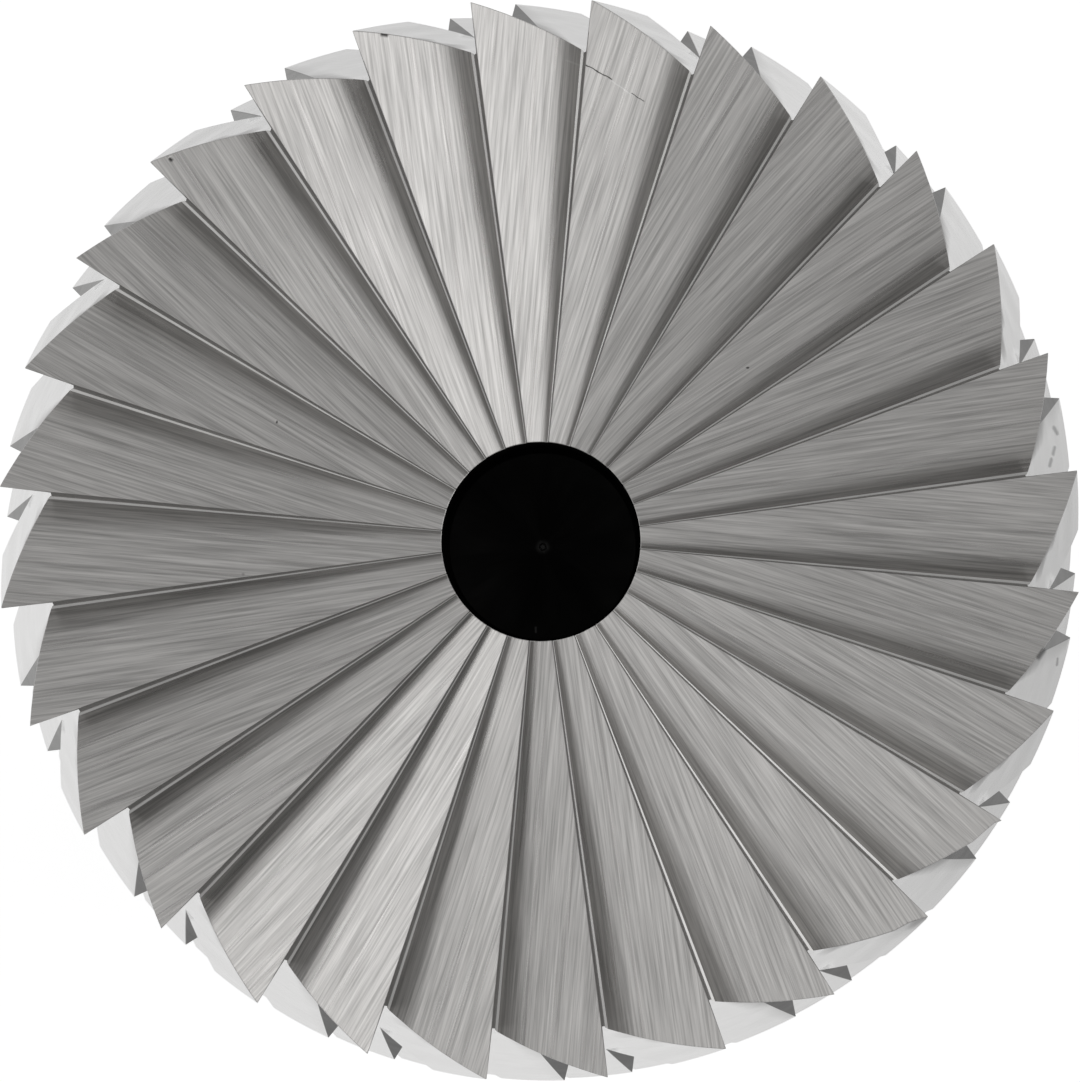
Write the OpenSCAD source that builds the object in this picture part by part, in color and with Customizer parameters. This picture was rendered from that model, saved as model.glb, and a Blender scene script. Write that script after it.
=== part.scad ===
// Cylindrical rotary burr, double cut, with cutting teeth on its end face.
// A carbide head is brazed onto a plain round steel shank.
// Origin: centre of the shank's end. +Z runs up the axis to the toothed end.

/* [Size] */
// Diameter over the tips of the head's teeth
head_d = 12; // [11:0.5:16]
// Length of the carbide head
head_len = 25; // [20:1:30]
// Overall length, shank end to toothed end
overall_len = 65; // [60:1:75]
// Diameter of the shank
shank_d = 6; // [5:0.5:6]

/* [Side teeth] */
// Number of right-hand helical teeth, an even number
teeth = 28; // [24:2:32]
// Helix angle of the teeth, from the axis
helix = 22; // [15:1:28]
// Depth of a flute below the tooth tips
flute_depth = 0.57; // [0.4:0.01:0.7]
// Width of a flute's flat bottom, as an angle about the axis
flute_flat = 1.4; // [1:0.1:1.6]
// Angle about the axis taken up by the leaning rake face
rake_lean = 0.35; // [0.2:0.05:0.6]
// Angle of the first tooth, counter-clockwise from +X on the end face
tooth_phase = 7.3; // [0:0.1:12]

/* [Cross grooves] */
// Share of a tooth's run between two flutes that one groove pitch covers
lattice = 0.44; // [0.4:0.01:0.5]
// Depth of the left-hand cross grooves
groove_depth = 0.31; // [0.2:0.01:0.38]
// Width of a cross groove, as an angle about the axis
groove_w = 10.2; // [8:0.1:11]
// Share of the width taken by the gentle near side
groove_near = 0.79; // [0.5:0.01:0.85]
// Rotation of a tooth from the end face to its first cross groove
groove_phase = 5.85; // [5.75:0.05:6.5]

/* [End teeth] */
// Slope of an end tooth's flank below the plane of the cutting edges
end_slope = 21.6; // [15:0.2:25]
// Angle about the axis taken up by the leaning end rake face
end_lean = 0.7; // [0.5:0.05:1]
// Diameter of the centre recess
recess_d = 2.2; // [1.5:0.1:3]
// Depth of the centre recess to its rim of the floor
recess_depth = 2.4; // [1:0.1:5]
// Run-out of the recess from the axis, along X and Y
recess_runout = [0.02, -0.023];

/* [Rear of the head and joint] */
// Diameter of the flat rear face of the head
rear_d = 9.6; // [9:0.1:10]
// Thickness of the brazed joint
braze_t = 0.1; // [0.05:0.05:0.2]
// Width of the braze fillet on the head's rear face
braze_fillet = 0.35; // [0.1:0.05:0.5]

/* [Shank] */
// Chamfer on the shank's end
shank_chamfer = 0.5; // [0.2:0.1:1]

/* [Hidden] */

R = head_d / 2;
pitch = 360 / teeth;                       // angle from tooth to tooth
gpitch = 2 * pitch;                        // angle from groove to groove: half as many grooves as teeth
turn = tan(helix) / R * 180 / PI;          // rotation of the helix, degrees per mm
g_low = groove_w * groove_near;            // place of a groove's bottom across its width
cone_top = head_len - (R - rear_d / 2);    // where the rear chamfer starts, below the end face
cone_low = cone_top + flute_depth;         // where the chamfer has reached the flute bottoms
s_low = pitch - rake_lean;                 // far edge of the flute's bottom, behind the tip
s_flat = s_low - flute_flat;               // near edge of the flute's bottom
end_low = pitch - end_lean;                // place of the end gullet behind the cutting edge
shank_len = overall_len - head_len - braze_t;
s_groove = groove_depth / flute_depth * s_flat;  // where the flank is as deep as a groove

// Places of the mesh columns behind a tooth's tip: tip, flank, groove end, flute bottom
cols = [0, s_groove / 2, s_groove, s_flat, s_low];
nc = len(cols);

// Depth of the flute s degrees behind a tip
function flute(s) = flute_depth * min(1, s / s_flat);
// Depth of a cross groove at groove angle v
function groove(v) =
    let (w = v - gpitch * floor(v / gpitch))
    w >= groove_w ? 0
    : w < g_low ? groove_depth * w / g_low
    : groove_depth * (groove_w - w) / (groove_w - g_low);
// Groove angle of a point on tooth k, s behind the tip, at depth d
function vang(k, s, d) = k * pitch + s + turn * d / lattice - groove_phase / lattice;
// Radius of that point
function rad(k, s, d) = min(R - max(flute(s), groove(vang(k, s, d))),
                            d > cone_top ? R - (d - cone_top) : R);
// The point itself, with the end face at z = 0
function pt(k, s, d) =
    let (a = tooth_phase - k * pitch - s - turn * d, r = rad(k, s, d))
    [r * cos(a), r * sin(a), -d];

// Depth at which column s of tooth k comes out on the end tooth's sloping flank
function front(k, s, d = 0, n = 8) =
    n == 0 ? d : front(k, s, tan(end_slope) * rad(k, s, d) * sin(s + turn * d), n - 1);
// Depth and place of the corner where the end gullet meets the flute's flank
function corner_d(r, n = 8) =
    let (d = tan(end_slope) * r * sin(end_low))
    n == 0 ? d : corner_d(R - flute(end_low - turn * d), n - 1);
d_corner = corner_d(R - flute_depth);
s_corner = end_low - turn * d_corner;
// Depth at which a line s behind the tip comes out on the next end tooth's rake face
q_wall = (R - flute_depth) * tan(end_slope) * sin(end_low);
function wall(s) = q_wall * (pitch - s) / (end_lean + q_wall * turn);

// Groove angles that need a point on column j
function marks(j) =
    let (f = flute(cols[j]) / groove_depth)
    j < 2 ? [f * g_low, g_low, groove_w - f * (groove_w - g_low), (groove_w + gpitch) / 2]
          : [g_low, (groove_w + gpitch) / 2];
// Depths of the points on column j of tooth k, from the end face to the rear face
function depths(k, j) =
    let (s = cols[j],
         d0 = j >= nc - 2 ? wall(s) : j == 0 ? 0 : front(k, s),
         d1 = j == nc - 2 ? [d_corner + 0.03] : [],     // just below the gullet's corner
         v0 = vang(k, s, 0), m = marks(j),
         n0 = floor(v0 / gpitch), n1 = ceil(vang(k, s, cone_top) / gpitch))
    concat([d0], d1,
           [for (n = [n0 : n1], v = m)
               let (d = (v + n * gpitch - v0) * lattice / turn)
               if (d > max(concat([d0], d1)) + 0.08 && d < cone_top - 0.08) d],
           [cone_top, cone_low, head_len]);

col_d = [for (k = [0 : teeth - 1], j = [0 : nc - 1]) depths(k, j)];
ncol = len(col_d);
// Running count of points before each column
first = [for (i = 0, n = 0; i <= ncol; n = n + (i < ncol ? len(col_d[i]) : 0), i = i + 1) n];
// Groove angle of every point on column i, used to pair neighbouring columns
function keys(i) =
    let (c = i % ncol, k = floor(c / nc), s = cols[c % nc])
    [for (d = col_d[c]) vang(k, s, d) + (i >= ncol ? 360 : 0)];

// Which of two columns moves on next: 0 is the first, 1 is the second
function mover(ka, kb, a, b) =
    b >= len(kb) - 1 ? 0 : a >= len(ka) - 1 ? 1 : ka[a + 1] <= kb[b + 1] ? 0 : 1;
// Triangles between column i and the next one round. The strip in front of the
// flute's bottom starts with two that go round the gullet's corner
function strip(i) =
    let (ka = keys(i), kb = keys(i + 1), na = len(ka), nb = len(kb),
         fa = first[i], fb = first[(i + 1) % ncol],
         at_corner = i % nc == nc - 3, b0 = at_corner ? 1 : 0, c = np + floor(i / nc))
    concat(at_corner ? [[fa, fb + 1, c], [c, fb + 1, fb]] : [],
           [for (a = 0, b = b0, m = mover(ka, kb, 0, b0); a + b < na + nb - 2;
                 a2 = a + (m == 0 ? 1 : 0), b2 = b + (m == 1 ? 1 : 0),
                 a = a2, b = b2, m = mover(ka, kb, a, b))
               m == 0 ? [fa + a, fa + a + 1, fb + b] : [fa + a, fb + b + 1, fb + b]]);

side_pts = [for (i = [0 : ncol - 1], d = col_d[i]) pt(floor(i / nc), cols[i % nc], d)];
np = len(side_pts);
corner_pts = [for (k = [0 : teeth - 1])
    let (a = tooth_phase - k * pitch - end_low, r = R - flute(s_corner))
    [r * cos(a), r * sin(a), -d_corner]];
centre = np + teeth;

// Each end tooth: a flat flank from the cutting edge to the gullet, and the
// rake face of the tooth after it
function end_tooth(k) =
    let (t = first[k * nc], f1 = first[k * nc + 1], f2 = first[k * nc + 2], c = np + k,
         w1 = first[k * nc + 3], w2 = first[k * nc + 4], n = first[((k + 1) % teeth) * nc])
    [[centre, t, f1], [centre, f1, f2], [centre, f2, c],
     [centre, c, w1], [centre, w1, w2], [centre, w2, n]];

module toothed_body() {
    polyhedron(
        points = concat(side_pts, corner_pts, [[0, 0, 0]]),
        faces = concat(
            [for (i = [0 : ncol - 1], f = strip(i)) f],
            [for (k = [0 : teeth - 1], f = end_tooth(k)) f],
            [[for (i = [ncol - 1 : -1 : 0]) first[i + 1] - 1]]),
        convexity = 10);
}

module carbide_head() {
    color([0.62, 0.62, 0.61])
    translate([0, 0, overall_len])
    difference() {
        toothed_body();
        translate([recess_runout[0], recess_runout[1], -recess_depth]) {
            cylinder(d = recess_d, h = recess_depth + 1, $fn = 64);
            // drill point with a small dimple at its middle
            translate([0, 0, -0.3])
            cylinder(d1 = 0.14, d2 = recess_d, h = 0.3, $fn = 64);
        }
    }
}

// Thin layer between the two end faces, with a small fillet round the shank
module braze_joint() {
    color([0.78, 0.66, 0.42])
    translate([0, 0, overall_len - head_len - braze_t])
    rotate_extrude($fn = 96)
    polygon([[0, 0], [shank_d / 2, 0],
             [shank_d / 2 + braze_fillet * 0.25, braze_t * 0.45],
             [shank_d / 2 + braze_fillet, braze_t], [0, braze_t]]);
}

module steel_shank() {
    color([0.70, 0.70, 0.71])
    union() {
        translate([0, 0, shank_chamfer])
        cylinder(d = shank_d, h = shank_len - shank_chamfer, $fn = 96);
        cylinder(d1 = shank_d - 2 * shank_chamfer, d2 = shank_d, h = shank_chamfer, $fn = 96);
    }
}

carbide_head();
braze_joint();
steel_shank();
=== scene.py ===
import math

import bmesh
import bpy
import numpy as np
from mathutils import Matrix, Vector


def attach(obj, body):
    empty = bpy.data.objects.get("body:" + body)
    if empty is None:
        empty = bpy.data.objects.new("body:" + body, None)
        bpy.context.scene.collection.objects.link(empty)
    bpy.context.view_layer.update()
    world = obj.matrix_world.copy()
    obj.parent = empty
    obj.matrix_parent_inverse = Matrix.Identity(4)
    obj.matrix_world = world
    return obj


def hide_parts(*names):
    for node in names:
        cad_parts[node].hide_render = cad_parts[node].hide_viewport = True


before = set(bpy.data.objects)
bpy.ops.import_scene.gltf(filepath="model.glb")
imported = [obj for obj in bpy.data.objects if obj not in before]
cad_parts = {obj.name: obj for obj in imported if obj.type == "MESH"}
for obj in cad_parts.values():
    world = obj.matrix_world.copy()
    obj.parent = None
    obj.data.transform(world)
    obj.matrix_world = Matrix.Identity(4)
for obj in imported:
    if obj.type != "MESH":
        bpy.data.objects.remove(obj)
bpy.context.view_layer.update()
MM = 0.001
rad = math.radians
tan, sin, cos = math.tan, math.sin, math.cos

# ---------------------------------------------------------------- dimensions
# The same rules and sizes as the construction, in millimetres and degrees.
TOP = 65.0
HEAD = 25.0
R = 6.0
TEETH = 28
HELIX = 22.0
FLUTE = 0.57
FLUTE_FLAT = 1.4
RAKE_LEAN = 0.35
PHASE = 7.3
LATTICE = 0.44
GROOVE = 0.31
GROOVE_W = 10.2
GROOVE_NEAR = 0.79
GROOVE_PHASE = 5.85
END_SLOPE = 21.6
END_LEAN = 0.7
HOLE_R = 1.1
HOLE_DEPTH = 2.4
HOLE_AT = np.array([0.02, -0.023])
REAR_R = 4.8
SHANK_R = 3.0

PITCH = 360 / TEETH
GPITCH = 2 * PITCH
TURN = math.degrees(tan(rad(HELIX)) / R)
G_LOW = GROOVE_W * GROOVE_NEAR
CONE_TOP = HEAD - (R - REAR_R)
CONE_LOW = CONE_TOP + FLUTE
S_LOW = PITCH - RAKE_LEAN
S_FLAT = S_LOW - FLUTE_FLAT
END_LOW = PITCH - END_LEAN
X_GROOVE = GROOVE / FLUTE
TAN_END = tan(rad(END_SLOPE))

# Columns across a tooth, as shares of the way from its tip to the flute's flat
# bottom; the last is the far edge of that bottom
COLS = [0.0, 0.05, 0.14, 0.27, 0.41, X_GROOVE, 0.64, 0.74, 0.84, 1.0, S_LOW / S_FLAT]
NC = len(COLS)
LAND = [0.2, 0.4, 0.6, 0.8]        # extra rows on the land between two cross grooves
ROWS = 3 + len(LAND)


def flute(s):
    return FLUTE * min(1.0, s / S_FLAT)


def groove(v):
    w = v - GPITCH * math.floor(v / GPITCH)
    if w >= GROOVE_W:
        return 0.0
    if w < G_LOW:
        return GROOVE * w / G_LOW
    return GROOVE * (GROOVE_W - w) / (GROOVE_W - G_LOW)


def vang(k, s, d):
    return k * PITCH + s + TURN * d / LATTICE - GROOVE_PHASE / LATTICE


def radius(k, s, d):
    r = R - max(flute(s), groove(vang(k, s, d)))
    return min(r, R - (d - CONE_TOP)) if d > CONE_TOP else r


def point(k, s, d):
    a = rad(PHASE - k * PITCH - s - TURN * d)
    r = radius(k, s, d)
    return (r * cos(a), r * sin(a), TOP - d)


def marks(j):
    """Groove angles of one column's rows: groove start, bottom, end, then the land."""
    f = min(1.0, flute(COLS[j] * S_FLAT) / GROOVE)
    end = GROOVE_W - f * (GROOVE_W - G_LOW)
    return [f * G_LOW, G_LOW, end] + [end + t * (GPITCH + f * G_LOW - end) for t in LAND]


def row_number(j, v):
    """Where groove angle v lies among column j's rows, as a running number."""
    m = marks(j)
    n = math.floor((v - m[0]) / GPITCH)
    w = v - n * GPITCH
    edges = m + [m[0] + GPITCH]
    for i in range(ROWS):
        if w <= edges[i + 1] + 1e-9:
            span = edges[i + 1] - edges[i]
            return n * ROWS + i + (min(1.0, (w - edges[i]) / span) if span > 1e-9 else 0.0)
    return n * ROWS + ROWS


def front_depth(k, s):
    d = 0.0
    for _ in range(12):
        d = TAN_END * radius(k, s, d) * sin(rad(s + TURN * d))
    return d


def corner():
    r = R - FLUTE
    for _ in range(12):
        d = TAN_END * r * sin(rad(END_LOW))
        r = R - flute(END_LOW - TURN * d)
    return d, r


D_CORNER, R_CORNER = corner()
# The end gullet has a small radius: its upper edge lies this far on, and this deep
FILLET = 0.31
FILLET_SLOPE = TAN_END * sin(rad(END_LOW)) * 0.968


def fillet_end():
    """Where the gullet's radius comes out on the flute's flank."""
    d = 0.4
    for _ in range(20):
        r = R - flute(END_LOW + FILLET - TURN * d)
        d = FILLET_SLOPE * r
    return d, r


D_FILLET, R_FILLET = fillet_end()
Q_WALL = (R - FLUTE) * FILLET_SLOPE


def wall_depth(s):
    """Depth at which a line s behind the tip comes out on the next end tooth's rake face."""
    return Q_WALL * (PITCH - s) / (END_LEAN - FILLET + Q_WALL * TURN)


# ---------------------------------------------------------------- the head's mesh
class Builder:
    def __init__(self):
        self.v, self.f, self.mat, self.uv = [], [], [], []
        self.soft = set()                # corners whose edges stay as they are

    def vert(self, p):
        self.v.append(tuple(p))
        return len(self.v) - 1

    def face(self, corners, mat):
        """corners: (vertex, (u, v)) pairs, counter-clockwise from outside."""
        out = []
        for c in corners:
            if not out or out[-1][0] != c[0]:
                out.append(c)
        if len(out) > 1 and out[0][0] == out[-1][0]:
            out.pop()
        if len({c[0] for c in out}) < 3:
            return
        self.f.append([c[0] for c in out])
        self.uv.extend([c[1] for c in out])
        self.mat.append(mat)

    def object(self, name, mats):
        me = bpy.data.meshes.new(name)
        me.from_pydata([(x * MM, y * MM, z * MM) for x, y, z in self.v], [], self.f)
        layer = me.uv_layers.new(name="grain")
        layer.data.foreach_set("uv", np.array(self.uv, dtype=np.float32).ravel())
        for m in mats:
            me.materials.append(m)
        me.polygons.foreach_set("material_index", np.array(self.mat, dtype=np.int32))
        me.validate(clean_customdata=False)
        me.update()
        ob = bpy.data.objects.new(name, me)
        bpy.context.scene.collection.objects.link(ob)
        return ob


M_END, M_SIDE, M_HOLE, M_REAR, M_RAKE, M_FAR, M_FILLET = range(7)


def build_head():
    b = Builder()
    chains = []                      # per column: list of (row number, vertex, s, d, v)
    for k in range(TEETH):
        for j, share in enumerate(COLS):
            s = share * S_FLAT
            d0 = wall_depth(s) if j >= NC - 2 else 0.0 if j == 0 else front_depth(k, s)
            low = D_CORNER + 0.03 if j == NC - 2 else d0
            v0 = vang(k, s, 0)
            n0 = math.floor(v0 / GPITCH) - 1
            n1 = math.ceil(vang(k, s, CONE_TOP) / GPITCH) + 1
            rows = []
            in_groove = share <= X_GROOVE + 1e-9
            for n in range(n0, n1 + 1):
                last = None
                for i, m in enumerate(marks(j)):
                    if not in_groove and i in (0, 2):
                        continue
                    d = (m + n * GPITCH - v0) * LATTICE / TURN
                    if low + 0.05 < d < CONE_TOP - 0.05:
                        rows.append((n * ROWS + i, d))
            chain = [(row_number(j, vang(k, s, d0)), d0)]
            if j == NC - 2:                # a point just below the gullet's corner
                chain.append((row_number(j, vang(k, s, low)), low))
            chain += rows
            for d in (CONE_TOP, CONE_LOW, HEAD):
                chain.append((row_number(j, vang(k, s, d)), d))
            out, prev = [], None
            for key, d in chain:
                if prev is not None and abs(prev[1] - d) < 1e-6:
                    out.append((key, out[-1][1], s, d, vang(k, s, d)))
                else:
                    out.append((key, b.vert(point(k, s, d)), s, d, vang(k, s, d)))
                prev = (key, d)
            chains.append(out)
    ncol = len(chains)
    arc = R * rad(1.0)

    for i in range(ncol):
        a, c = chains[i], chains[(i + 1) % ncol]
        shift = ROWS * TEETH / 2 if i == ncol - 1 else 0       # one whole turn later
        rake = (i % NC) == NC - 1
        x, y = 0, 1 if i % NC == NC - 3 else 0
        while x < len(a) - 1 or y < len(c) - 1:
            ka = a[x + 1][0] if x < len(a) - 1 else 1e9
            kc = c[y + 1][0] + shift if y < len(c) - 1 else 1e9
            if x == len(a) - 4 and y < len(c) - 4:
                ka = 1e9                                        # keep the rear rows level
            if y == len(c) - 4 and x < len(a) - 4:
                kc = 1e9
            if x >= len(a) - 4 and y >= len(c) - 4:
                step = (1, 1)
            elif abs(ka - kc) < 1e-6:
                step = (1, 1)
            elif ka < kc:
                step = (1, 0)
            else:
                step = (0, 1)
            p = [a[x], a[x + step[0]], c[y + step[1]], c[y]]
            sides = [0, 0, 1, 1]
            vm = sum(q[4] for q in p) / 4
            w = vm - GPITCH * math.floor(vm / GPITCH)
            sm = sum(q[2] for q in p) / 4
            wall = (not rake) and groove(vm) > flute(sm) + 1e-4
            cs = []
            for q, side in zip(p, sides):
                if rake:
                    uv = (S_LOW * arc + (FLUTE if side else 0.0), q[3] / cos(rad(HELIX)))
                elif wall:
                    uv = ((q[4] % 3600) * arc * 0.9, q[3] * 1.1)
                else:
                    uv = (q[2] * arc, q[3] / cos(rad(HELIX)))
                cs.append((q[1], uv))
            b.face(cs, M_FAR if wall and w > G_LOW else M_SIDE)
            x, y = x + step[0], y + step[1]

    # end teeth: flat flanks on rays from the axis, ring by ring, down to the recess
    def rim_radius(a):
        e = np.array([cos(a), sin(a)])
        q = float(e @ HOLE_AT)
        return q + math.sqrt(q * q - float(HOLE_AT @ HOLE_AT) + HOLE_R ** 2)

    RINGS = 14
    rim = []                         # rim vertices all the way round, clockwise

    def ray(a_deg, outer, slope):
        """Vertices from the rim out to an existing outer vertex; slope is drop per mm."""
        a = rad(a_deg)
        r0 = rim_radius(a)
        r1 = math.hypot(b.v[outer][0], b.v[outer][1])
        ids = []
        for n in range(RINGS):
            r = r0 + (r1 - r0) * n / RINGS
            ids.append(b.vert((r * cos(a), r * sin(a), TOP - slope * r)))
        ids.append(outer)
        return ids

    def ray_angle(k, vid):
        x, y, _ = b.v[vid]
        a = math.degrees(math.atan2(y, x))
        s0 = (PHASE - k * PITCH - a) % 360
        return s0 if s0 < 180 else s0 - 360

    # small chips at the tips of two end teeth: (tooth, column, depth of the chip in mm)
    for k, j, cut in ((3, 0, 0.012), (3, 1, 0.038), (3, 2, 0.024), (3, 3, -0.006),
                      (4, 0, 0.008), (4, 1, 0.020), (4, 2, 0.030)):
        i = chains[k * NC + j][0][1]
        x, y, z = b.v[i]
        f = 1 - cut / math.hypot(x, y)
        b.v[i] = (x * f, y * f, z)

    rays = []
    for k in range(TEETH):
        for j in range(NC - 2):
            vid = chains[k * NC + j][0][1]
            s0 = 0.0 if j == 0 else ray_angle(k, vid)
            rays.append((k, s0, ray(PHASE - k * PITCH - s0, vid, TAN_END * sin(rad(s0)))))
        a = rad(PHASE - k * PITCH - END_LOW)
        cv = b.vert((R_CORNER * cos(a), R_CORNER * sin(a), TOP - D_CORNER))
        rays.append((k, END_LOW, ray(PHASE - k * PITCH - END_LOW, cv, TAN_END * sin(rad(END_LOW)))))
        a = rad(PHASE - k * PITCH - END_LOW - FILLET)
        xv = b.vert((R_FILLET * cos(a), R_FILLET * sin(a), TOP - D_FILLET))
        rays.append((k, END_LOW + FILLET, ray(PHASE - k * PITCH - END_LOW - FILLET, xv, FILLET_SLOPE)))
        # the side flank goes round the corner, down to the flute's bottom
        f2 = chains[k * NC + NC - 3][0]
        w1, w2 = chains[k * NC + NC - 2][:2]
        uc = ((END_LOW - TURN * D_CORNER) * arc, D_CORNER / cos(rad(HELIX)))
        ux = ((END_LOW + FILLET - TURN * D_FILLET) * arc, D_FILLET / cos(rad(HELIX)))
        u0, u1, u2 = [(q[2] * arc, q[3] / cos(rad(HELIX))) for q in (f2, w1, w2)]
        b.face([(f2[1], u0), (w2[1], u2), (cv, uc)], M_SIDE)
        b.face([(cv, uc), (w2[1], u2), (xv, ux)], M_SIDE)
        b.face([(xv, ux), (w2[1], u2), (w1[1], u1)], M_SIDE)
        b.soft.update((cv, xv, w1[1], chains[k * NC + NC - 1][0][1]))
    nr = len(rays)
    per = NC
    for i in range(nr):
        k, s0, ids = rays[i]
        k2, s1, ids2 = rays[(i + 1) % nr]
        wall = (i % per) >= per - 2
        rake = (i % per) == per - 1
        for n in range(RINGS):
            def uv(vid, along):
                x, y, z = b.v[vid]
                r = math.hypot(x, y)
                s = (PHASE - k * PITCH - math.degrees(math.atan2(y, x)) + 180) % 360 - 180
                g = rad(END_LOW - s)                       # angle from the gullet line
                u = r * sin(g) / cos(rad(END_SLOPE))
                if wall:
                    u = -(TOP - z) * 1.4
                return (u + 3.0 * k, r * cos(g))
            if rake and n == RINGS - 2:
                continue
            if rake and n == RINGS - 1:
                # the wall's outer end runs down to the start of the flute bottom
                a0, a1, x = ids[n - 1], ids[n], ids[n + 1]
                b0, b1, t = ids2[n - 1], ids2[n], ids2[n + 1]
                w1 = chains[k * NC + NC - 2][0][1]
                w2 = chains[k * NC + NC - 1][0][1]
                for tri in ((a0, a1, w2), (a1, x, w1), (a1, w1, w2), (a0, w2, b0), (w2, b1, b0), (w2, t, b1)):
                    b.face([(q, uv(q, n)) for q in tri], M_RAKE)
            else:
                b.face([(ids[n], uv(ids[n], n)), (ids[n + 1], uv(ids[n + 1], n)),
                        (ids2[n + 1], uv(ids2[n + 1], n)), (ids2[n], uv(ids2[n], n))],
                       M_RAKE if rake else M_FILLET if wall else M_END)
    # Recess: straight wall, then a shallow cone with a dimple at its middle
    ring = [ids[0] for _, _, ids in rays]
    m = len(ring)
    angs = [math.atan2(b.v[i][1] - HOLE_AT[1], b.v[i][0] - HOLE_AT[0]) for i in ring]
    levels = [(HOLE_R, 0.25), (HOLE_R, 0.9), (HOLE_R, HOLE_DEPTH - 0.06), (HOLE_R - 0.06, HOLE_DEPTH),
              (0.8, HOLE_DEPTH + 0.08), (0.45, HOLE_DEPTH + 0.17), (0.12, HOLE_DEPTH + 0.26),
              (0.075, HOLE_DEPTH + 0.268), (0.035, HOLE_DEPTH + 0.27), (0.028, HOLE_DEPTH + 0.33)]
    prev = ring
    for r, d in levels:
        now = [b.vert((HOLE_AT[0] + r * cos(t), HOLE_AT[1] + r * sin(t), TOP - d)) for t in angs]
        for i in range(m):
            q = (i + 1) % m
            b.face([(prev[i], (i * 0.02, d)), (prev[q], (q * 0.02, d)),
                    (now[q], (q * 0.02, d + 0.1)), (now[i], (i * 0.02, d + 0.1))], M_HOLE)
        prev = now
    b.face([(v, (0.0, 0.0)) for v in prev], M_HOLE)
    # rear face: flat ring in to the shank, closed in the middle
    outer = [c[-1][1] for c in chains]
    prev = outer
    for r in (4.2, 3.5, SHANK_R - 0.2):
        now = []
        for i in range(ncol):
            x, y, z = b.v[outer[i]]
            t = math.atan2(y, x)
            now.append(b.vert((r * cos(t), r * sin(t), TOP - HEAD)))
        for i in range(ncol):
            q = (i + 1) % ncol
            b.face([(prev[i], (i * 0.03, r)), (now[i], (i * 0.03, r - 0.5)),
                    (now[q], (q * 0.03, r - 0.5)), (prev[q], (q * 0.03, r))], M_REAR)
        prev = now
    b.face([(v, (0.0, 0.0)) for v in prev], M_REAR)
    return b


# ---------------------------------------------------------------- materials
def nodes_of(name):
    m = bpy.data.materials.new(name)
    m.use_nodes = True
    nt = m.node_tree
    nt.nodes.clear()
    out = nt.nodes.new("ShaderNodeOutputMaterial")
    bs = nt.nodes.new("ShaderNodeBsdfPrincipled")
    nt.links.new(bs.outputs[0], out.inputs[0])
    return m, nt, bs


def node(nt, kind, **kw):
    n = nt.nodes.new(kind)
    for k, v in kw.items():
        setattr(n, k, v)
    return n


def math_node(nt, op, a, b=None, clamp=False):
    n = nt.nodes.new("ShaderNodeMath")
    n.operation = op
    n.use_clamp = clamp
    for i, x in enumerate((a, b)):
        if x is None:
            continue
        if isinstance(x, (int, float)):
            n.inputs[i].default_value = x
        else:
            nt.links.new(x, n.inputs[i])
    return n.outputs[0]


def ramp(nt, fac, stops):
    n = nt.nodes.new("ShaderNodeValToRGB")
    e = n.color_ramp.elements
    while len(e) > 1:
        e.remove(e[-1])
    e[0].position, e[0].color = stops[0][0], (*([stops[0][1]] * 3), 1) if isinstance(stops[0][1], (int, float)) else (*stops[0][1], 1)
    for p, c in stops[1:]:
        x = e.new(p)
        x.color = (c, c, c, 1) if isinstance(c, (int, float)) else (*c, 1)
    nt.links.new(fac, n.inputs[0])
    return n.outputs[0]


def streaks(nt, su, sv, detail=6.0, rough=0.6, dim_scale=1.0, offset=(0, 0, 0)):
    """Noise drawn out along the grain: the UV map runs across and along it, in mm."""
    uv = node(nt, "ShaderNodeUVMap", uv_map="grain")
    mp = node(nt, "ShaderNodeMapping")
    mp.inputs["Scale"].default_value = (su, sv, 1.0)
    mp.inputs["Location"].default_value = offset
    nt.links.new(uv.outputs[0], mp.inputs[0])
    no = node(nt, "ShaderNodeTexNoise")
    no.inputs["Scale"].default_value = dim_scale
    no.inputs["Detail"].default_value = detail
    no.inputs["Roughness"].default_value = rough
    nt.links.new(mp.outputs[0], no.inputs["Vector"])
    return no.outputs[0]


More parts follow.
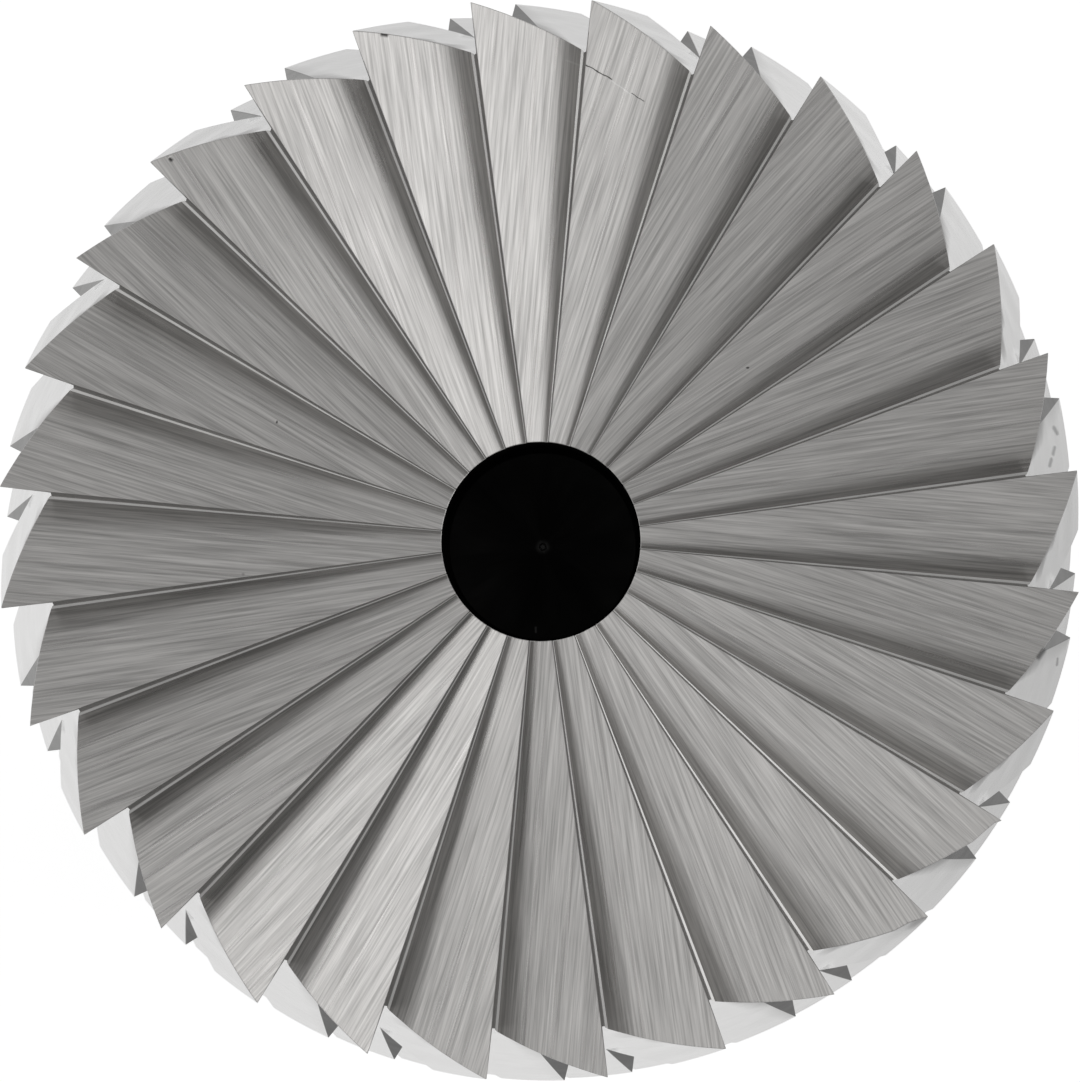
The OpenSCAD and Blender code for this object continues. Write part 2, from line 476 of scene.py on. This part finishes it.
def scratch_and_glint_mask(nt, marks, z_low):
    """Fine lines, real scratches and painted glints alike: each is a line on the end face, (x0, y0, x1, y1, half
    width) in mm.
    """
    co = node(nt, "ShaderNodeTexCoord")
    sep = node(nt, "ShaderNodeSeparateXYZ")
    nt.links.new(co.outputs["Object"], sep.inputs[0])
    noise = node(nt, "ShaderNodeTexNoise")
    noise.inputs["Scale"].default_value = 14000.0
    noise.inputs["Detail"].default_value = 2.0
    nt.links.new(co.outputs["Object"], noise.inputs["Vector"])
    shake = math_node(nt, "MULTIPLY", math_node(nt, "SUBTRACT", noise.outputs[0], 0.5), 0.02)
    px = math_node(nt, "ADD", math_node(nt, "MULTIPLY", sep.outputs[0], 1000.0), shake)
    py = math_node(nt, "ADD", math_node(nt, "MULTIPLY", sep.outputs[1], 1000.0), shake)
    total = None
    for x0, y0, x1, y1, half in marks:
        dx, dy = x1 - x0, y1 - y0
        l2 = dx * dx + dy * dy
        ax = math_node(nt, "SUBTRACT", px, x0)
        ay = math_node(nt, "SUBTRACT", py, y0)
        t = math_node(nt, "ADD", math_node(nt, "MULTIPLY", ax, dx / l2), math_node(nt, "MULTIPLY", ay, dy / l2), True)
        ex = math_node(nt, "SUBTRACT", ax, math_node(nt, "MULTIPLY", t, dx))
        ey = math_node(nt, "SUBTRACT", ay, math_node(nt, "MULTIPLY", t, dy))
        dist = math_node(nt, "SQRT", math_node(nt, "ADD", math_node(nt, "MULTIPLY", ex, ex), math_node(nt, "MULTIPLY", ey, ey)))
        near = math_node(nt, "SUBTRACT", 1.3, math_node(nt, "DIVIDE", dist, half), True)
        total = near if total is None else math_node(nt, "MAXIMUM", total, near)
    high = math_node(nt, "GREATER_THAN", sep.outputs[2], z_low * MM)
    return math_node(nt, "MULTIPLY", total, high)


def mix_colour(nt, fac, a, b):
    mx = node(nt, "ShaderNodeMix", data_type="RGBA")
    nt.links.new(fac, mx.inputs["Factor"])
    nt.links.new(a, mx.inputs["A"])
    mx.inputs["B"].default_value = (*b, 1)
    return mx.outputs["Result"]


def metal(name, base, rough, aniso, grain=(40.0, 1.2), bump=0.3, dist=0.002, spots=True, lo=0.86, hi=1.1,
          dark=None, light=None, z_low=63.0, glint=0.35, share=0.62, wide=0.22):
    m, nt, bs = nodes_of(name)
    bs.inputs["Metallic"].default_value = 1.0
    bs.inputs["Anisotropic"].default_value = aniso
    fine = streaks(nt, grain[0], grain[1], 3.0, 0.65)
    broad = streaks(nt, grain[0] * wide, grain[1] * 0.4, 2.0, 0.5, offset=(7, 3, 0))
    mixed = math_node(nt, "ADD", math_node(nt, "MULTIPLY", fine, share), math_node(nt, "MULTIPLY", broad, 1 - share))
    tint = ramp(nt, mixed, [(0.36, tuple(c * lo for c in base)), (0.50, base), (0.64, tuple(min(1, c * hi) for c in base))])
    if spots:
        co = node(nt, "ShaderNodeTexCoord")
        vo = node(nt, "ShaderNodeTexVoronoi")
        vo.inputs["Scale"].default_value = 5200.0
        nt.links.new(co.outputs["Object"], vo.inputs["Vector"])
        pick = ramp(nt, vo.outputs["Color"], [(0.955, 0.0), (0.965, 1.0)])
        dot = ramp(nt, vo.outputs["Distance"], [(0.05, 1.0), (0.13, 0.0)])
        mask = math_node(nt, "MULTIPLY", pick, dot)
        tint = mix_colour(nt, math_node(nt, "MULTIPLY", mask, 0.5), tint, tuple(c * 0.35 for c in base))
    height = mixed
    if dark:
        md = scratch_and_glint_mask(nt, dark, z_low)
        tint = mix_colour(nt, math_node(nt, "MULTIPLY", md, 0.92), tint, (0.035, 0.034, 0.033))
        height = math_node(nt, "SUBTRACT", height, math_node(nt, "MULTIPLY", md, 1.2))
    # light marks are painted highlights: pale lines mixed toward near-white by glint
    if light:
        ml = scratch_and_glint_mask(nt, light, z_low)
        tint = mix_colour(nt, math_node(nt, "MULTIPLY", ml, glint), tint, (0.95, 0.95, 0.94))
    nt.links.new(tint, bs.inputs["Base Color"])
    rg = ramp(nt, broad, [(0.3, rough * 0.85), (0.7, min(1, rough * 1.18))])
    nt.links.new(rg, bs.inputs["Roughness"])
    bp = node(nt, "ShaderNodeBump")
    bp.inputs["Strength"].default_value = bump
    bp.inputs["Distance"].default_value = dist * MM
    nt.links.new(height, bp.inputs["Height"])
    nt.links.new(bp.outputs[0], bs.inputs["Normal"])
    tg = node(nt, "ShaderNodeTangent", direction_type="UV_MAP", uv_map="grain")
    nt.links.new(tg.outputs[0], bs.inputs["Tangent"])
    return m


def line(points, half):
    """Marks along a run of points on the end face, in mm."""
    return [(*points[i], *points[i + 1], half) for i in range(len(points) - 1)]


SCRATCH = [(0.46, 5.26), (0.73, 5.13), (0.93, 4.98), (1.11, 4.88), (1.29, 4.74)]
END_DARK = (line([(0.45, 5.27), (0.52, 5.25), (0.73, 5.135), (0.80, 5.095)], 0.0065)
            + line([(1.02, 4.945), (1.16, 4.86)], 0.004)
            + [(-4.085, 4.215, -4.075, 4.205, 0.022), (-1.74, 5.595, -1.69, 5.59, 0.024),
               (5.53, -1.30, 5.585, -1.225, 0.03),
               (4.0, -4.30, 4.16, -4.22, 0.012), (2.3, 1.9, 2.31, 1.9, 0.012), (-2.9, 1.3, -2.9, 1.31, 0.012)])
# painted glints: pale lines beside the end face's scratches stand in for light caught by their edges
END_PAINTED_GLINT = line([(0.30, 5.32), (0.38, 5.29), (0.45, 5.265)], 0.012) + line([(0.80, 5.08), (1.02, 4.93)], 0.007)
SIDE_DARK = [(5.53, -1.30, 5.585, -1.225, 0.03), (5.72, 1.27, 5.76, 1.22, 0.026), (5.735, 1.06, 5.72, 0.99, 0.022), (5.70, 0.93, 5.68, 0.86, 0.022),
             (5.76, -1.30, 5.76, -1.36, 0.016)]
mat_end = metal("ground_carbide_end", (0.630, 0.617, 0.602), 0.30, 0.55, (30.0, 0.7), 0.45, 0.0035, lo=0.70, hi=1.29,
                dark=END_DARK, light=END_PAINTED_GLINT, share=0.76, wide=0.3)
mat_side = metal("ground_carbide_side", (0.505, 0.50, 0.494), 0.22, 0.4, (26.0, 0.8), 0.15, 0.001, lo=0.95, hi=1.04,
                 spots=False, dark=SIDE_DARK)
# the rake walls' darker base colour is painted shade in the gullets
mat_rake = metal("ground_carbide_rake_painted_shade", (0.305, 0.30, 0.293), 0.30, 0.4, (30.0, 0.6), 0.3, 0.002, spots=False, lo=0.8, hi=1.2)
mat_fillet = metal("ground_carbide_gullet", (0.66, 0.65, 0.637), 0.23, 0.2, (30.0, 0.5), 0.2, 0.002, spots=False, lo=0.9, hi=1.08)
# the groove's far walls get a darker base colour than the side flanks: painted shade on walls that face away from the
# light
mat_far = metal("ground_carbide_groove_painted_shade", (0.22, 0.218, 0.215), 0.24, 0.3, (26.0, 0.8), 0.2, 0.001, lo=0.85, hi=1.15, spots=False,
                dark=SIDE_DARK)
# the recess's near-black base colour is painted shade, and its two faint pale marks (one at the dimple's middle) are
# painted reflections
mat_hole = metal("recess_carbide_painted_shade_and_glint", (0.013, 0.0128, 0.0125), 0.6, 0.0, (10.0, 8.0), 0.3, 0.004, spots=False,
                 light=[(-0.057, -0.93, -0.057, -0.98, 0.014), (0.018, -0.023, 0.022, -0.023, 0.068)],
                 z_low=60.0, glint=0.075)
mat_rear = metal("turned_carbide_rear", (0.50, 0.50, 0.49), 0.4, 0.3, (12.0, 12.0), 0.3, 0.003)
mat_shank = metal("ground_shank_steel", (0.66, 0.66, 0.665), 0.28, 0.6, (0.7, 26.0), 0.35, 0.002)
mat_braze = metal("silver_braze", (0.72, 0.63, 0.45), 0.38, 0.0, (6.0, 6.0), 0.5, 0.01, spots=False)

# ---------------------------------------------------------------- pieces
built = build_head()
head = built.object("head_ground", [mat_end, mat_side, mat_hole, mat_rear, mat_rake, mat_far,
                                         mat_fillet])
bm = bmesh.new()
bm.from_mesh(head.data)
bm.verts.ensure_lookup_table()
keep = [bm.verts[i] for i in built.soft]
keep_at = {tuple(round(c * 1e7) for c in v.co) for v in keep}
bmesh.ops.remove_doubles(bm, verts=bm.verts, dist=1e-8)
bmesh.ops.recalc_face_normals(bm, faces=bm.faces)
open_edges = sum(1 for e in bm.edges if not e.is_manifold)
print("head: open or bad edges", open_edges, "faces", len(bm.faces), "volume mm3", bm.calc_volume() * 1e9)
weight = bm.edges.layers.float.new("bevel_weight_edge")
for e in bm.edges:
    if len(e.link_faces) != 2 or e.calc_face_angle_signed() < rad(24):
        continue                         # only outside edges are worn round
    if any(tuple(round(c * 1e7) for c in v.co) in keep_at for v in e.verts):
        continue
    e[weight] = 1.0
bm.to_mesh(head.data)
bm.free()
bev = head.modifiers.new("edges", "BEVEL")
bev.width = 0.009 * MM
bev.segments = 2
bev.limit_method = "WEIGHT"
bev.harden_normals = False
bev.use_clamp_overlap = True


def apply_modifiers(ob):
    dg = bpy.context.evaluated_depsgraph_get()
    me = bpy.data.meshes.new_from_object(ob.evaluated_get(dg), preserve_all_data_layers=True, depsgraph=dg)
    ob.modifiers.clear()
    old = ob.data
    ob.data = me
    bpy.data.meshes.remove(old)
    return ob


apply_modifiers(head)
me = head.data
bm = bmesh.new()
bm.from_mesh(me)
bmesh.ops.dissolve_degenerate(bm, dist=4e-7, edges=bm.edges[:])
bm.to_mesh(me)
print("head: bad edges after the bevel", sum(1 for e in bm.edges if not e.is_manifold), "volume mm3", bm.calc_volume() * 1e9)
bm.free()
mats = np.zeros(len(me.polygons), dtype=np.int32)
me.polygons.foreach_get("material_index", mats)
me.set_sharp_from_angle(angle=rad(18))
me.polygons.foreach_set("use_smooth", ~np.isin(mats, (M_END, M_RAKE, M_FAR, M_FILLET)))
me.update()
print("head: triangles", sum(len(p.vertices) - 2 for p in me.polygons))
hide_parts("carbide_head")
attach(head, "root")


def turned(name, profile, mat, seg=144):
    """A turned piece: profile is (radius, z) from the bottom axis to the top axis."""
    b = Builder()
    rings = []
    for r, z in profile:
        if r < 1e-9:
            rings.append([b.vert((0, 0, z))] * seg)
        else:
            rings.append([b.vert((r * cos(2 * math.pi * i / seg), r * sin(2 * math.pi * i / seg), z)) for i in range(seg)])
    run = 0.0
    for n in range(len(rings) - 1):
        (r0, z0), (r1, z1) = profile[n], profile[n + 1]
        step = math.hypot(r1 - r0, z1 - z0)
        for i in range(seg):
            q = (i + 1) % seg
            u0, u1 = i * 2 * math.pi * SHANK_R / seg, (i + 1) * 2 * math.pi * SHANK_R / seg
            b.face([(rings[n][i], (u0, run)), (rings[n][q], (u1, run)),
                    (rings[n + 1][q], (u1, run + step)), (rings[n + 1][i], (u0, run + step))], 0)
        run += step
    ob = b.object(name, [mat])
    ob.data.polygons.foreach_set("use_smooth", np.ones(len(ob.data.polygons), dtype=bool))
    ob.data.set_sharp_from_angle(angle=rad(30))
    return ob


zs = [0.62, 2, 6, 10, 16, 22, 28, 34, 38, 39.6]
shank = turned("shank_ground",
               [(0, 0), (1.2, 0), (2.44, 0), (2.485, 0.012), (2.52, 0.04), (2.96, 0.47), (2.99, 0.53), (3.0, 0.62)]
               + [(3.0, z) for z in zs[1:]] + [(3.0, 39.9), (2.5, 39.9), (0, 39.9)], mat_shank)
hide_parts("steel_shank")
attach(shank, "root")
braze = turned("braze_fillet",
               [(0, 39.9), (2.4, 39.9), (3.0, 39.9), (3.03, 39.91), (3.055, 39.925), (3.09, 39.945), (3.15, 39.968),
                (3.24, 39.988), (3.35, 39.998), (3.34, 40.0), (2.4, 40.0), (0, 40.0)], mat_braze)
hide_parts("braze_joint")
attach(braze, "root")

# ---------------------------------------------------------------- floor and light
m, nt, bs = nodes_of("floor_white")
bs.inputs["Base Color"].default_value = (0.93, 0.93, 0.93, 1)
bs.inputs["Roughness"].default_value = 0.9
bs.inputs["Specular IOR Level"].default_value = 0.1
bs.inputs["Emission Color"].default_value = (1, 1, 1, 1)
bs.inputs["Emission Strength"].default_value = 0.575
# Outside the camera's view the floor's emission and colour are painted to fall off gently, to the lower right and the
# back: painted shade on the floor
co = node(nt, "ShaderNodeTexCoord")
sep = node(nt, "ShaderNodeSeparateXYZ")
nt.links.new(co.outputs["Object"], sep.inputs[0])
shade = None
for az, most in ((-32, 1.0), (92, 0.7)):
    out = math_node(nt, "ADD", math_node(nt, "MULTIPLY", sep.outputs[0], cos(rad(az))),
                    math_node(nt, "MULTIPLY", sep.outputs[1], sin(rad(az))))
    fall = node(nt, "ShaderNodeMapRange", interpolation_type="SMOOTHSTEP")
    nt.links.new(out, fall.inputs["Value"])
    fall.inputs["From Min"].default_value = 0.012
    fall.inputs["From Max"].default_value = 0.044
    fall.inputs["To Max"].default_value = most
    shade = fall.outputs["Result"] if shade is None else math_node(nt, "MAXIMUM", shade, fall.outputs["Result"])
nt.links.new(ramp(nt, shade, [(0.0, 1.0), (1.0, 0.48)]), bs.inputs["Emission Color"])
nt.links.new(ramp(nt, shade, [(0.0, 0.93), (1.0, 0.45)]), bs.inputs["Base Color"])
me = bpy.data.meshes.new("floor")
S = 0.6
me.from_pydata([(-S, -S, 0), (S, -S, 0), (S, S, 0), (-S, S, 0)], [], [(0, 1, 2, 3)])
floor = bpy.data.objects.new("floor", me)
me.materials.append(m)
bpy.context.scene.collection.objects.link(floor)


def soft_light(name, azimuth, elevation, dist, size, power, size_y=None):
    li = bpy.data.lights.new(name, "AREA")
    li.shape = "RECTANGLE"
    li.size = size
    li.size_y = size_y or size
    li.energy = power
    ob = bpy.data.objects.new(name, li)
    a, e = rad(azimuth), rad(elevation)
    at = Vector((0, 0, TOP * MM))
    pos = at + dist * Vector((cos(a) * cos(e), sin(a) * cos(e), sin(e)))
    ob.location = pos
    ob.rotation_euler = (at - pos).to_track_quat("-Z", "Y").to_euler()
    bpy.context.scene.collection.objects.link(ob)
    return ob


w = bpy.data.worlds.new("studio")
bpy.context.scene.world = w
w.use_nodes = True
w.node_tree.nodes["Background"].inputs[0].default_value = (1, 1, 1, 1)
w.node_tree.nodes["Background"].inputs[1].default_value = 0.41
soft_light("right_box", 22, 47, 0.35, 0.21, 0.105)
soft_light("left_box", 159, 47, 0.33, 0.12, 0.043)
soft_light("low_box", 218, 47, 0.37, 0.30, 0.072)

# ---------------------------------------------------------------- camera
FRONT = Vector((0.00001, -0.000018, TOP * MM))
DIST = 0.192
cam = bpy.data.cameras.new("camera")
cam.sensor_fit = "HORIZONTAL"
cam.sensor_width = 36.0
PX_PER_MM = 542.8 / R
cam.lens = PX_PER_MM * DIST / MM / 1080 * 36.0
cam.clip_start = 0.01
cam.clip_end = 10
co = bpy.data.objects.new("camera", cam)
lean = Vector((0.0081, -0.0232, 1.0))
co.location = FRONT + DIST * lean
direction = -lean.normalized()
zaxis = -direction
yaxis = (Vector((0, 1, 0)) - zaxis * zaxis.y).normalized()
xaxis = yaxis.cross(zaxis)
from mathutils import Matrix
co.rotation_euler = Matrix((xaxis, yaxis, zaxis)).transposed().to_euler()
bpy.context.scene.collection.objects.link(co)
bpy.context.scene.camera = co
bpy.context.scene.view_settings.view_transform = "Standard"
